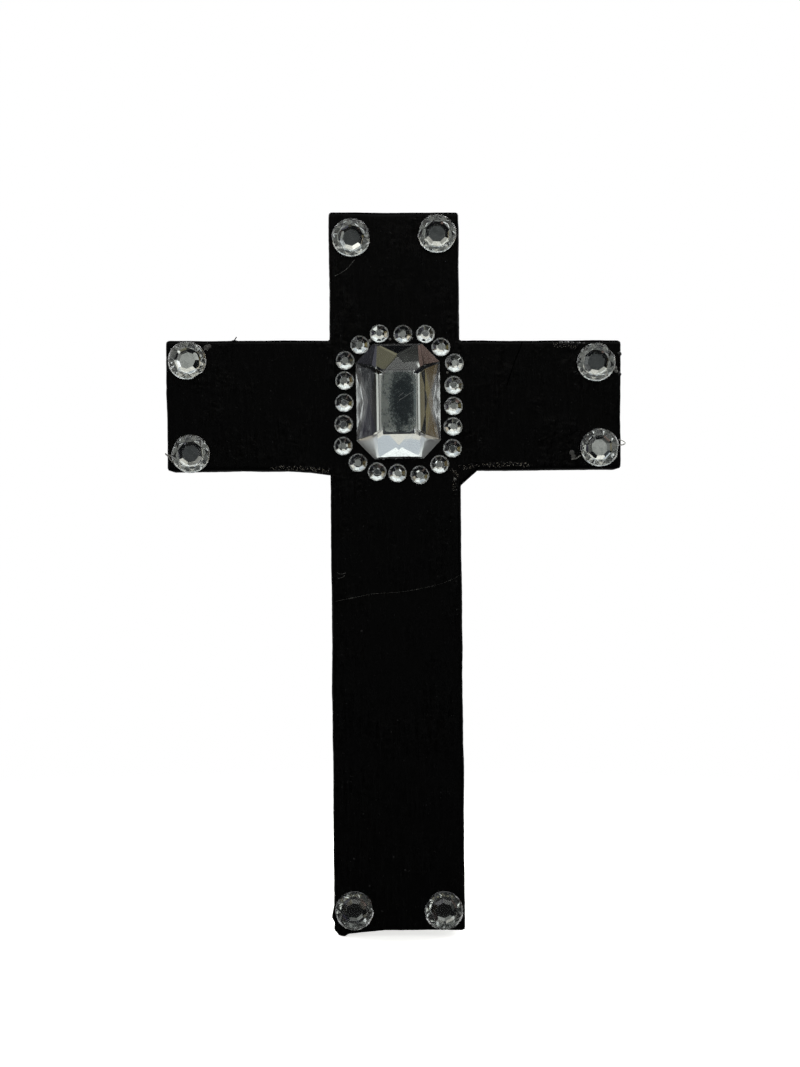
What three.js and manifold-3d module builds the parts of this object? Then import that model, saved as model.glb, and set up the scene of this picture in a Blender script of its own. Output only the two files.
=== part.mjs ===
// Wall cross: one sawn board painted black, set with clear flat-back stones.
// Millimetres, +Z up. The back lies in the plane y = 0 and the face looks along -Y.
// The origin is on the back, behind the middle of the crossing.

import * as THREE from "three";
import { ConvexGeometry } from "three/addons/geometries/ConvexGeometry.js";
import { mergeVertices } from "three/addons/utils/BufferGeometryUtils.js";
import Module from "manifold-3d";

// Board
const boardThickness = 12.7;
const arris = 0.3; // edges rubbed down by sandpaper and filled by paint
const arrisSteps = 2;
const cornerRadius = 0.5;
const cornerSteps = 3;
const upright = {
  top: { z: 41.05, middle: -0.45, width: 27.35 },
  foot: { z: -111.35, middle: 0.9, width: 27.6 },
};
const crossbar = {
  left: { x: -48.5, middle: 0.02, width: 27.48, slant: 0.36 },
  right: { x: 47.75, middle: 0.38, width: 26.99, slant: 0 },
};
const sawStep = 5; // spacing of the points along a sawn edge
const sawWander = 0.13; // how far a sawn edge strays from its line, in two waves
const longWave = { length: 33, share: 0.6, phase: 0 };
const shortWave = { length: 13, share: 0.4, phase: 1.7 };
const cornerWeb = { across: 3.9, down: 3.5 }; // waste left in the lower right inner corner
const armFlare = { length: 9.4, drop: 0.9, hollow: 0.18 }; // saw strayed under the left arm
const tearOut = { length: 8.6, drop: 0.75, tipInset: 1.9, tipWidth: 1, tipDrop: 1.45 }; // broken foot corner
const splinter = { rise: 2.7, out: 0.5, halfLength: 1.1, notch: 0.1 }; // beside the broken corner

// Stones
const glueFilm = 0.3;
const largeStone = {
  diameter: 8.1,
  sides: 32,
  backInset: 0.35,
  girdle: 0.85,
  rim: { share: 0.94, tilt: 38 }, // bevelled edge, in to this share of the radius
  flange: { corners: 16, tilt: 9, wave: 0.07 }, // nearly flat ring, its corners up and down by turns
  crown: { facets: 8, share: 0.62, tilt: 27 },
  tableShare: 0.43,
};
const smallStone = {
  diameter: 3.96,
  sides: 24,
  backInset: 0.12,
  girdle: 0.4,
  rim: { share: 0.95, tilt: 45 },
  flange: { corners: 24, tilt: 9, wave: 0 },
  crown: { facets: 8, share: 0.82, tilt: 27 },
  tableShare: 0.33,
};

// Where each large stone sits, how far it is turned, and where its moulding gate was snapped off
const gateDepth = 0.22;
const largeStones = [
  { name: "large_stone_top_left", x: -9.42, z: 35.69, turn: 8, gate: 8 },
  { name: "large_stone_top_right", x: 8.8, z: 36.54, turn: 20, gate: 165 },
  { name: "large_stone_left_upper", x: -44.16, z: 9.6, turn: 0, gate: -57 },
  { name: "large_stone_left_lower", x: -43.49, z: -10.2, turn: 30, gate: 160 },
  { name: "large_stone_right_upper", x: 42.6, z: 9.29, turn: 12, gate: 42 },
  { name: "large_stone_right_lower", x: 43.27, z: -8.84, turn: 26, gate: -8 },
  { name: "large_stone_foot_left", x: -8.71, z: -107.06, turn: 15, gate: 14 },
  { name: "large_stone_foot_right", x: 10.28, z: -107.03, turn: 5, gate: 150 },
];

// The ring of small stones, set by eye: a run on each side and one stone across each corner.
// Stations are fractions of the way along a run.
const ringRuns = [
  { from: [-3.41, 15.3], to: [6.36, 15.22], stations: [0, 0.51, 1] },
  { from: [9.63, 12.5], to: [9.63, 12.5], stations: [0] },
  { from: [12.5, 9.1], to: [12.1, -9], stations: [0, 0.26, 0.505, 0.745, 1] },
  { from: [9.38, -12.42], to: [9.38, -12.42], stations: [0] },
  { from: [5.17, -14.65], to: [-3.91, -13.98], stations: [0, 0.525, 1] },
  { from: [-7.97, -12.04], to: [-7.97, -12.04], stations: [0] },
  { from: [-11.1, -8.54], to: [-10.7, 9.64], stations: [0, 0.255, 0.505, 0.765, 1] },
  { from: [-7.6, 12.97], to: [-7.6, 12.97], stations: [0] },
];
const ringTurnStep = 17; // each stone fell at its own angle

// Centre gem: an eight-sided step-cut block, each side crossed by a shallow X of facets
const gem = {
  x: 0.6,
  z: 0.92,
  lean: 0.9,
  width: 17.8,
  height: 24.4,
  cornerAcross: 3.7,
  cornerUp: 3.9,
  girdle: 1,
  rimAcross: 0.9,
  rimUp: 0.4,
  rimTop: 1.6,
  frameWidth: 9.2,
  frameHeight: 13.8,
  frameTop: 3.6,
  tableWidth: 6.5,
  tableHeight: 11.9,
  tableTop: 4.05,
  crossingFraction: 0.5,
  crossingLift: 0.25,
};

const paintedWood = new THREE.MeshStandardMaterial({ color: "#0c0c0b", roughness: 0.5, metalness: 0 });
const clearAcrylic = new THREE.MeshStandardMaterial({ color: "#c9cdcc", roughness: 0.08, metalness: 0 });

const wasm = await Module();
wasm.setup();
const { degToRad, lerp } = THREE.MathUtils;

// Point where the line through a and b meets the line through c and d
function meet(a, b, c, d) {
  const along = b.clone().sub(a);
  const across = d.clone().sub(c);
  const share = c.clone().sub(a).cross(across) / along.cross(across);
  return a.clone().addScaledVector(along, share);
}

// Stray of a hand-sawn edge at a distance along the outline
function sawStray(distance) {
  let stray = 0;
  for (const { length, share, phase } of [longWave, shortWave]) {
    stray += share * Math.sin((2 * Math.PI * distance) / length + phase);
  }
  return sawWander * stray;
}

// Points along a sawn edge between two corners, straying sideways and true at both ends
function sawnEdge(from, to) {
  const length = from.distanceTo(to);
  const steps = Math.max(1, Math.round(length / sawStep));
  const sideways = to.clone().sub(from).normalize();
  sideways.set(sideways.y, -sideways.x);
  const points = [];
  for (let i = 1; i < steps; i++) {
    const t = i / steps;
    const stray = sawStray(length * t + from.x + from.y) * Math.sin(Math.PI * t);
    points.push(from.clone().lerp(to, t).addScaledVector(sideways, stray));
  }
  return points;
}

// A corner rubbed round between its two neighbours
function rubbedCorner(before, corner, after) {
  const start = corner.clone().lerp(before, cornerRadius / corner.distanceTo(before));
  const end = corner.clone().lerp(after, cornerRadius / corner.distanceTo(after));
  return new THREE.QuadraticBezierCurve(start, corner, end).getPoints(cornerSteps);
}

// Outline of the board seen from the front, clockwise from the top left corner
function boardOutline() {
  const { top, foot } = upright;
  const { left, right } = crossbar;
  const point = (x, z) => new THREE.Vector2(x, z);

  const topLeft = point(top.middle - top.width / 2, top.z);
  const topRight = point(top.middle + top.width / 2, top.z);
  const footLeft = point(foot.middle - foot.width / 2, foot.z);
  const footRight = point(foot.middle + foot.width / 2, foot.z);
  const leftUpper = point(left.x - left.slant / 2, left.middle + left.width / 2);
  const leftLower = point(left.x + left.slant / 2, left.middle - left.width / 2);
  const rightUpper = point(right.x - right.slant / 2, right.middle + right.width / 2);
  const rightLower = point(right.x + right.slant / 2, right.middle - right.width / 2);

  const innerUpperRight = meet(topRight, footRight, leftUpper, rightUpper);
  const innerLowerRight = meet(topRight, footRight, leftLower, rightLower);
  const innerLowerLeft = meet(topLeft, footLeft, leftLower, rightLower);
  const innerUpperLeft = meet(topLeft, footLeft, leftUpper, rightUpper);

  const webEnd = point(innerLowerRight.x + cornerWeb.across, innerLowerRight.y);
  const webFoot = point(innerLowerRight.x, innerLowerRight.y - cornerWeb.down);
  const flareStart = point(innerLowerLeft.x - armFlare.length, innerLowerLeft.y);
  const flareEnd = point(innerLowerLeft.x, innerLowerLeft.y - armFlare.drop);
  const flareHalf = flareStart.clone().lerp(flareEnd, 0.5);
  flareHalf.y += armFlare.hollow;

  const tearTip = point(footLeft.x + tearOut.tipInset, footLeft.y - tearOut.tipDrop);
  const tearEdge = point(tearTip.x + tearOut.tipWidth, footLeft.y - tearOut.drop);
  const tearStart = point(tearTip.x + tearOut.length, footLeft.y);
  const splinterTip = point(footLeft.x - splinter.out, footLeft.y + splinter.rise);
  const splinterTop = point(footLeft.x, splinterTip.y + splinter.halfLength * 2);
  const splinterFoot = point(footLeft.x + splinter.notch, splinterTip.y - splinter.halfLength);

  return [
    ...rubbedCorner(innerUpperLeft, topLeft, topRight),
    ...sawnEdge(topLeft, topRight),
    ...rubbedCorner(topLeft, topRight, innerUpperRight),
    ...sawnEdge(topRight, innerUpperRight),
    innerUpperRight,
    ...sawnEdge(innerUpperRight, rightUpper),
    ...rubbedCorner(innerUpperRight, rightUpper, rightLower),
    ...sawnEdge(rightUpper, rightLower),
    ...rubbedCorner(rightUpper, rightLower, webEnd),
    ...sawnEdge(rightLower, webEnd),
    webEnd,
    webFoot,
    ...sawnEdge(webFoot, footRight),
    ...rubbedCorner(webFoot, footRight, tearStart),
    ...sawnEdge(footRight, tearStart),
    tearStart,
    tearEdge,
    tearTip,
    footLeft,
    splinterFoot,
    splinterTip,
    splinterTop,
    ...sawnEdge(splinterTop, flareEnd),
    flareEnd,
    flareHalf,
    flareStart,
    ...sawnEdge(flareStart, leftLower),
    ...rubbedCorner(flareStart, leftLower, leftUpper),
    ...sawnEdge(leftLower, leftUpper),
    ...rubbedCorner(leftLower, leftUpper, innerUpperLeft),
    ...sawnEdge(leftUpper, innerUpperLeft),
    innerUpperLeft,
    ...sawnEdge(innerUpperLeft, topLeft),
  ];
}

// The outline made thick, with its arrises taken off; the back stays in the plane y = 0
function boardGeometry() {
  const geometry = new THREE.ExtrudeGeometry(new THREE.Shape(boardOutline()), {
    depth: boardThickness - 2 * arris,
    bevelEnabled: true,
    bevelThickness: arris,
    bevelSize: arris,
    bevelOffset: -arris,
    bevelSegments: arrisSteps,
  });
  geometry.translate(0, 0, arris);
  geometry.rotateX(Math.PI / 2);
  return geometry;
}

function toSolid(geometry) {
  const bare = geometry.clone();
  bare.deleteAttribute("normal");
  bare.deleteAttribute("uv");
  const merged = mergeVertices(bare);
  return new wasm.Manifold(
    new wasm.Mesh({
      numProp: 3,
      vertProperties: merged.attributes.position.array,
      triVerts: new Uint32Array(merged.index.array),
    }),
  );
}

function toGeometry(solid) {
  const mesh = solid.getMesh();
  const geometry = new THREE.BufferGeometry();
  geometry.setAttribute("position", new THREE.BufferAttribute(mesh.vertProperties, 3));
  geometry.setIndex(new THREE.BufferAttribute(mesh.triVerts, 1));
  const faceted = geometry.toNonIndexed();
  faceted.computeVertexNormals();
  return faceted;
}

// Evenly spaced corners of a flat-sided ring whose sides stand a reach away from the axis.
// With a wave, every other corner is raised and the rest are lowered.
function ringCorners(count, reach, level, wave = 0) {
  const radius = reach / Math.cos(Math.PI / count);
  const points = [];
  for (let i = 0; i < count; i++) {
    const direction = (2 * Math.PI * i) / count;
    const height = level + (i % 2 === 0 ? wave : -wave);
    points.push(new THREE.Vector3(radius * Math.cos(direction), height, radius * Math.sin(direction)));
  }
  return points;
}

// Triangles from one ring of corners to the next, which has as many corners or fewer
function facetsBetween(ring, nextRing) {
  const share = nextRing.length / ring.length;
  const nearest = (i) => nextRing[Math.round((i + 0.5) * share) % nextRing.length];
  const points = [];
  for (let i = 0; i < ring.length; i++) {
    const following = ring[(i + 1) % ring.length];
    points.push(ring[i], nearest(i), following);
    if (nearest(i + 1) !== nearest(i)) {
      points.push(following, nearest(i), nearest(i + 1));
    }
  }
  return points;
}

// A round stone standing on its back at y = 0: girdle, rim, flange, and a crown with its table
function roundStoneGeometry(cut) {
  const { sides, backInset, rim, flange, crown } = cut;
  const radius = cut.diameter / 2;
  const flangeReach = rim.share * radius;
  const crownReach = crown.share * radius;
  const tableReach = cut.tableShare * radius;
  const rise = (from, to, tilt) => (from - to) * Math.tan(degToRad(tilt));
  const rimLevel = backInset + cut.girdle;
  const flangeLevel = rimLevel + rise(radius, flangeReach, rim.tilt);
  const crownLevel = flangeLevel + rise(flangeReach, crownReach, flange.tilt);
  const tableLevel = crownLevel + rise(crownReach, tableReach, crown.tilt);

  const back = ringCorners(sides, radius - backInset, 0);
  const table = ringCorners(crown.facets, tableReach, tableLevel);
  const rings = [
    back,
    ringCorners(sides, radius, backInset),
    ringCorners(sides, radius, rimLevel),
    ringCorners(flange.corners, flangeReach, flangeLevel, flange.wave),
    ringCorners(crown.facets, crownReach, crownLevel),
    table,
  ];
  const points = [];
  for (let i = 1; i < rings.length; i++) {
    points.push(...facetsBetween(rings[i - 1], rings[i]));
  }
  for (let i = 2; i < back.length; i++) {
    points.push(back[0], back[i - 1], back[i]);
  }
  for (let i = 2; i < table.length; i++) {
    points.push(table[0], table[i], table[i - 1]);
  }
  const geometry = new THREE.BufferGeometry().setFromPoints(points);
  geometry.computeVertexNormals();
  return geometry;
}

// Flat on the rim where the moulding gate was snapped off, at an angle from local +X
function snapGate(stone, cut, angle) {
  const size = cut.diameter;
  const block = new THREE.BoxGeometry(size, size * 2, size);
  block.translate(size - gateDepth, 0, 0);
  block.rotateY(-angle);
  return stone.subtract(toSolid(block));
}

// Corners of the gem's eight-sided outline at one level, drawn in from its sides and its ends
function gemOctagon(inAcross, inUp, level) {
  const halfWidth = gem.width / 2 - inAcross;
  const halfHeight = gem.height / 2 - inUp;
  const across = gem.cornerAcross;
  const up = gem.cornerUp;
  const points = [];
  for (const sideX of [-1, 1]) {
    for (const sideZ of [-1, 1]) {
      points.push(new THREE.Vector3(sideX * halfWidth, level, sideZ * (halfHeight - up)));
      points.push(new THREE.Vector3(sideX * (halfWidth - across), level, sideZ * halfHeight));
    }
  }
  return points;
}

function gemRectangle(width, height, level) {
  const points = [];
  for (const sideX of [-1, 1]) {
    for (const sideZ of [-1, 1]) {
      points.push(new THREE.Vector3((sideX * width) / 2, level, (sideZ * height) / 2));
    }
  }
  return points;
}

// The four points where the X facets cross, a little proud of the sloping sides
function gemCrossings() {
  const share = gem.crossingFraction;
  const level = lerp(gem.frameTop, gem.rimTop, share) + gem.crossingLift;
  const outX = lerp(gem.frameWidth / 2, gem.width / 2 - gem.rimAcross, share);
  const outZ = lerp(gem.frameHeight / 2, gem.height / 2 - gem.rimUp, share);
  return [
    new THREE.Vector3(-outX, level, 0),
    new THREE.Vector3(outX, level, 0),
    new THREE.Vector3(0, level, -outZ),
    new THREE.Vector3(0, level, outZ),
  ];
}

function gemGeometry() {
  return new ConvexGeometry([
    ...gemOctagon(0, 0, 0),
    ...gemOctagon(0, 0, gem.girdle),
    ...gemOctagon(gem.rimAcross, gem.rimUp, gem.rimTop),
    ...gemCrossings(),
    ...gemRectangle(gem.frameWidth, gem.frameHeight, gem.frameTop),
    ...gemRectangle(gem.tableWidth, gem.tableHeight, gem.tableTop),
  ]);
}

// Stones are made standing on their backs, then tipped forward onto the glue on the board's face.
// Seen from the front, a stone is turned anticlockwise.
function setStone(name, geometry, x, z, turn) {
  const mesh = new THREE.Mesh(geometry, clearAcrylic);
  mesh.name = name;
  mesh.position.set(x, -boardThickness - glueFilm, z);
  mesh.rotation.set(Math.PI, degToRad(turn), 0);
  return mesh;
}

const wallCross = new THREE.Group();
wallCross.name = "wall_cross";

const board = new THREE.Mesh(boardGeometry(), paintedWood);
board.name = "cross_board";
wallCross.add(board);

wallCross.add(setStone("center_gem", gemGeometry(), gem.x, gem.z, gem.lean));

const largeSolid = toSolid(roundStoneGeometry(largeStone));
for (const { name, x, z, turn, gate } of largeStones) {
  const geometry = toGeometry(snapGate(largeSolid, largeStone, degToRad(turn - gate)));
  wallCross.add(setStone(name, geometry, x, z, turn));
}

const smallGeometry = roundStoneGeometry(smallStone);
let ringCount = 0;
for (const { from, to, stations } of ringRuns) {
  for (const station of stations) {
    ringCount += 1;
    const name = `ring_stone_${String(ringCount).padStart(2, "0")}`;
    const x = lerp(from[0], to[0], station);
    const z = lerp(from[1], to[1], station);
    wallCross.add(setStone(name, smallGeometry, x, z, ringCount * ringTurnStep));
  }
}

export default wallCross;
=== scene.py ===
import math

import bmesh
import bpy
from mathutils import Euler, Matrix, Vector


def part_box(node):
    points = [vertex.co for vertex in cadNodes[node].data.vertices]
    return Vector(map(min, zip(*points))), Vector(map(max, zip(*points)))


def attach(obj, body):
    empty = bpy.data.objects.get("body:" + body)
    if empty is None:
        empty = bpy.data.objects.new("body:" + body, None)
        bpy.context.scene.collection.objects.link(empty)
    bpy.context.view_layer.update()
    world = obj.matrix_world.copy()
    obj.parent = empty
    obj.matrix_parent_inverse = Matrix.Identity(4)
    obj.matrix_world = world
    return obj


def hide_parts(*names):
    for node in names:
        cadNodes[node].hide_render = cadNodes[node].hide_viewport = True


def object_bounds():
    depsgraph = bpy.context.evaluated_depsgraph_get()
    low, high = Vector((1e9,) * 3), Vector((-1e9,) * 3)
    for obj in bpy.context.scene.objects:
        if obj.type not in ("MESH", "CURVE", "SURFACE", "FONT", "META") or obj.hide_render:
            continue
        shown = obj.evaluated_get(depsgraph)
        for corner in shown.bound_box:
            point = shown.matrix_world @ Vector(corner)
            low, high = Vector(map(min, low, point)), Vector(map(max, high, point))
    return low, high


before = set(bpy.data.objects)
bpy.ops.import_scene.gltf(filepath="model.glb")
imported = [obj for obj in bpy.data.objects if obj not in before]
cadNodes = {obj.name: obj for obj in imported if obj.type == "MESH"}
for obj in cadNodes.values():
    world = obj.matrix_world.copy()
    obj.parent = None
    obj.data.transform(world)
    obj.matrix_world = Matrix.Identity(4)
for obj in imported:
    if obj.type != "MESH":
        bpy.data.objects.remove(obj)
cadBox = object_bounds()
scene = bpy.context.scene
mm = 0.001
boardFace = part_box("cross_board")[0].y  # plane of the painted face
print("frame loaded:", len(cadNodes), "nodes")


def linear(hexColour):  # sRGB hex to the linear colour a socket takes
    channels = [int(hexColour[i:i + 2], 16) / 255 for i in (1, 3, 5)]
    return [c / 12.92 if c <= 0.04045 else ((c + 0.055) / 1.055) ** 2.4 for c in channels] + [1]


def addNode(tree, kind, inputs=None, **settings):
    node = tree.nodes.new(kind)
    for name, value in settings.items():
        setattr(node, name, value)
    for key, value in (inputs or {}).items():
        if isinstance(value, bpy.types.NodeSocket):
            tree.links.new(value, node.inputs[key])
        else:
            node.inputs[key].default_value = value
    return node


def newMaterial(name, plainValues):
    material = bpy.data.materials.new(name)
    material.use_nodes = True
    shader = material.node_tree.nodes["Principled BSDF"]
    for socket, value in plainValues.items():
        shader.inputs[socket].default_value = value
    return material, material.node_tree, shader


def clouded(name, look, plainValues):  # a colour that drifts between two, in clouds of a size in mm
    material, tree, shader = newMaterial(name, plainValues)
    place = addNode(tree, "ShaderNodeTexCoord").outputs["Object"]
    cloud = addNode(tree, "ShaderNodeTexNoise", {
        "Vector": place, "Scale": 1 / (look["cloud"] * mm), "Detail": 4, "Roughness": 0.6})
    share = addNode(tree, "ShaderNodeMapRange", {
        "Value": cloud.outputs[0], "From Min": 0.45, "From Max": 0.7})
    colour = addNode(tree, "ShaderNodeMix", {
        0: share.outputs[0], 6: linear(look["main"]), 7: linear(look["cloudy"])}, data_type="RGBA")
    tree.links.new(colour.outputs[2], shader.inputs["Base Color"])
    return material


def newTree(name, sizes):  # a node tree with a named input for each size
    tree = bpy.data.node_groups.new(name, "GeometryNodeTree")
    tree.interface.new_socket("Geometry", in_out="INPUT", socket_type="NodeSocketGeometry")
    for label, value in sizes.items():
        kind = "NodeSocketInt" if isinstance(value, int) else "NodeSocketFloat"
        tree.interface.new_socket(label, in_out="INPUT", socket_type=kind)
    tree.interface.new_socket("Geometry", in_out="OUTPUT", socket_type="NodeSocketGeometry")
    return tree, addNode(tree, "NodeGroupInput").outputs


def useTree(piece, tree, result, sizes):
    addNode(tree, "NodeGroupOutput", {"Geometry": result})
    modifier = piece.modifiers.new(tree.name, "NODES")
    modifier.node_group = tree
    for item in tree.interface.items_tree:
        if item.in_out == "INPUT" and item.name in sizes:
            modifier[item.identifier] = sizes[item.name]


def newPiece(name, mesh):
    piece = bpy.data.objects.new(name, mesh)
    scene.collection.objects.link(piece)
    return piece


def settle(piece):  # works the modifiers into a plain mesh
    graph = bpy.context.evaluated_depsgraph_get()
    mesh = bpy.data.meshes.new_from_object(piece.evaluated_get(graph), depsgraph=graph)
    mesh.name = piece.name
    piece.modifiers.clear()
    piece.data = mesh
    return piece


def handOver(piece, slot, *standsFor):
    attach(piece, "root")
    if standsFor:
        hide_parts(*standsFor)
    print(piece.name, "made,", len(piece.data.polygons), "faces")


def meshFrom(bm, name):
    mesh = bpy.data.meshes.new(name)
    bm.to_mesh(mesh)
    bm.free()
    return mesh


weld = {"distance": 0.02 * mm, "flat": math.radians(0.6)}


def cutCopy(name):  # a CAD node's triangles welded back into its flat facets
    bm = bmesh.new()
    bm.from_mesh(cadNodes[name].data)
    bmesh.ops.remove_doubles(bm, verts=bm.verts, dist=weld["distance"])
    bmesh.ops.dissolve_limit(bm, angle_limit=weld["flat"], verts=bm.verts, edges=bm.edges)
    return bm


def seatOf(name):  # middle of a stone's back
    low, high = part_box(name)
    return Vector(((low.x + high.x) / 2, high.y, (low.z + high.z) / 2))


def linesFrom(paths, height):  # given paths across the board, in mm, at a height above its face
    points, edges = [], []
    for path in paths:
        for i, point in enumerate(path):
            x, z = point[:2]
            lift = point[2] if len(point) > 2 else height
            if i:
                edges.append((len(points) - 1, len(points)))
            points.append((x * mm, boardFace - lift * mm, z * mm))
    mesh = bpy.data.meshes.new("paths")
    mesh.from_pydata(points, edges, [])
    return mesh


# Paint on the wood

# Craft acrylic brushed on softwood: a near-black satin film, dragged into short upright marks in patches, with
# pale specks painted into the colour as tiny highlights
paintLook = {
    "dark": "#000000",
    "pale": "#08090a",
    # the speck colour is a painted highlight
    "speck": "#3a3b3b",
    "markWidth": 0.7,  # this and the next four in mm
    "markLength": 5,
    "blotch": 1.3,
    "glintSpeckSize": 0.5,
    "patch": 8,
    "evenTone": 0.45,  # between dark and pale, where no marks show
    "smoothest": 0.15,
    "roughest": 0.37,
    "shine": 0.085,
    "relief": 0.24,
}

# The same paint where it lay thick over sawdust and dried glossy, so each crumb sparkles; its paler tone is
# partly painted sheen
thickPaintLook = paintLook | {
    "dark": "#101011",
    "pale": "#1c1c1d",
    "smoothest": 0.14,
    "roughest": 0.26,
    "shine": 0.5,
    "relief": 0.05,
}


def brushedPaint(name, look):
    material, tree, shader = newMaterial(name, {"Specular IOR Level": look["shine"]})
    place = addNode(tree, "ShaderNodeTexCoord").outputs["Object"]
    across, along = 1 / (look["markWidth"] * mm), 1 / (look["markLength"] * mm)
    drawn = addNode(tree, "ShaderNodeMapping", {"Vector": place, "Scale": (across, across, along)})
    brushed = addNode(tree, "ShaderNodeTexNoise", {
        "Vector": drawn.outputs[0], "Scale": 1, "Detail": 2, "Roughness": 0.55})
    streak = addNode(tree, "ShaderNodeMapRange", {
        "Value": brushed.outputs[0], "From Min": 0.36, "From Max": 0.7})
    # pale specks: painted highlights laid into the colour
    paintedGlintNoise = addNode(tree, "ShaderNodeTexNoise", {"Vector": place, "Scale": 1 / (look["glintSpeckSize"] * mm)})
    speck = addNode(tree, "ShaderNodeMapRange", {
        "Value": paintedGlintNoise.outputs[0], "From Min": 0.7, "From Max": 0.78})
    area = addNode(tree, "ShaderNodeTexNoise", {"Vector": place, "Scale": 1 / (look["patch"] * mm)})
    patch = addNode(tree, "ShaderNodeMapRange", {
        "Value": area.outputs[0], "From Min": 0.42, "From Max": 0.66, "To Min": 0.3})
    blotch = addNode(tree, "ShaderNodeTexNoise", {
        "Vector": place, "Scale": 1 / (look["blotch"] * mm), "Detail": 3, "Roughness": 0.6})
    marks = addNode(tree, "ShaderNodeMix", {
        0: patch.outputs[0], 2: look["evenTone"], 3: streak.outputs[0]})
    paintedGlintShare = addNode(tree, "ShaderNodeMath", {0: speck.outputs[0], 1: patch.outputs[0]}, operation="MULTIPLY")

    film = addNode(tree, "ShaderNodeMix", {
        0: marks.outputs[0], 6: linear(look["dark"]), 7: linear(look["pale"])}, data_type="RGBA")
    colour = addNode(tree, "ShaderNodeMix", {
        0: paintedGlintShare.outputs[0], 6: film.outputs[2], 7: linear(look["speck"])}, data_type="RGBA")
    roughness = addNode(tree, "ShaderNodeMapRange", {
        "Value": marks.outputs[0], "To Min": look["smoothest"], "To Max": look["roughest"]})
    height = addNode(tree, "ShaderNodeMath", {
        0: blotch.outputs[0], 1: patch.outputs[0], 2: brushed.outputs[0]}, operation="MULTIPLY_ADD")
    bump = addNode(tree, "ShaderNodeBump", {
        "Height": height.outputs[0], "Strength": patch.outputs[0], "Distance": look["relief"] * mm})
    tree.links.new(colour.outputs[2], shader.inputs["Base Color"])
    tree.links.new(roughness.outputs[0], shader.inputs["Roughness"])
    tree.links.new(bump.outputs[0], shader.inputs["Normal"])
    return material


paintMaterial = brushedPaint("brushedPaint", paintLook)
thickPaint = brushedPaint("thickGlossPaint", thickPaintLook)

boardFinish = {
    "Ridge Width": 0.9 * mm,
    "Ridge Length": 18 * mm,
    "Ridge Height": 0.05 * mm,
    "Kerf Width": 1.3 * mm,
    "Kerf Height": 0.16 * mm,
    "Lump Width": 7 * mm,
    "Lump Height": 0.1 * mm,
    "Edge Paint": 0.15 * mm,
    "Seed": 4,
}
boardVoxel = 0.48 * mm


def makeBoard():
    piece = newPiece("painted_board", meshFrom(cutCopy("cross_board"), "board"))
    remesh = piece.modifiers.new("fineMesh", "REMESH")
    remesh.mode = "VOXEL"
    remesh.voxel_size = boardVoxel
    crisp = piece.modifiers.new("sawnEdges", "SHRINKWRAP")  # brings the sawn edges back
    crisp.target = cadNodes["cross_board"]

    # brush ridges run up the face, saw kerfs run through the thickness of the sides
    tree, size = newTree("brushedBoard", boardFinish)
    place = addNode(tree, "GeometryNodeInputPosition").outputs[0]
    normal = addNode(tree, "GeometryNodeInputNormal").outputs[0]

    def waves(wide, through, tall, height):
        spread = addNode(tree, "ShaderNodeCombineXYZ", {0: wide, 1: through, 2: tall})
        drawn = addNode(tree, "ShaderNodeVectorMath", {0: place, 1: spread.outputs[0]}, operation="DIVIDE")
        noise = addNode(tree, "ShaderNodeTexNoise", {
            "Vector": drawn.outputs[0], "W": size["Seed"], "Scale": 1, "Detail": 2}, noise_dimensions="4D")
        middle = addNode(tree, "ShaderNodeMath", {0: noise.outputs[0], 1: 0.5}, operation="SUBTRACT")
        wave = addNode(tree, "ShaderNodeMath", {0: middle.outputs[0], 1: height}, operation="MULTIPLY")
        return wave.outputs[0]

    ridges = waves(size["Ridge Width"], size["Ridge Width"], size["Ridge Length"], size["Ridge Height"])
    kerfs = waves(size["Kerf Width"], size["Ridge Length"], size["Kerf Width"], size["Kerf Height"])
    lumps = waves(size["Lump Width"], size["Lump Width"], size["Lump Width"], size["Lump Height"])
    facing = addNode(tree, "ShaderNodeSeparateXYZ", {0: normal}).outputs[1]
    onFace = addNode(tree, "ShaderNodeMath", {0: facing}, operation="ABSOLUTE").outputs[0]
    relief = addNode(tree, "ShaderNodeMix", {0: onFace, 2: kerfs, 3: ridges}).outputs[0]
    gathered = addNode(tree, "ShaderNodeMix", {0: onFace, 2: size["Edge Paint"]}).outputs[0]
    built = addNode(tree, "ShaderNodeMath", {0: relief, 1: lumps}, operation="ADD").outputs[0]
    lift = addNode(tree, "ShaderNodeMath", {0: built, 1: gathered}, operation="ADD").outputs[0]
    offset = addNode(tree, "ShaderNodeVectorMath", {0: normal, "Scale": lift}, operation="SCALE")
    moved = addNode(tree, "GeometryNodeSetPosition", {
        "Geometry": size["Geometry"], "Offset": offset.outputs[0]})
    smooth = addNode(tree, "GeometryNodeSetShadeSmooth", {"Geometry": moved.outputs[0]})
    real = addNode(tree, "GeometryNodeRealizeInstances", {0: smooth.outputs[0]})
    painted = addNode(tree, "GeometryNodeSetMaterial", {"Geometry": real.outputs[0], "Material": paintMaterial})
    useTree(piece, tree, painted.outputs[0], boardFinish)
    handOver(settle(piece), "painted_wood", "cross_board")


makeBoard()

# Crumbs of sawdust caught in the paint, along paths in mm across the face
crumbTrails = [
    [(11.8, -13.2), (12.9, -14.4), (12.5, -16), (12.6, -18)],
    [(13.8, -13.2), (15.8, -12.9), (17.4, -12.4)],
    [(18.6, -12.6), (25, -12.4), (28, -12.6)],
    [(-26, -13.1), (-21, -13.2), (-17, -13.6), (-14.2, -14)],
    [(33.5, 12.9), (36, 12.9), (38.5, 12.6)],
]
crumbs = {
    "Spacing": 0.28 * mm,
    "Spread": 0.6 * mm,
    "Smallest": 0.06 * mm,
    "Largest": 0.26 * mm,
    "Seed": 11,
}

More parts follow.
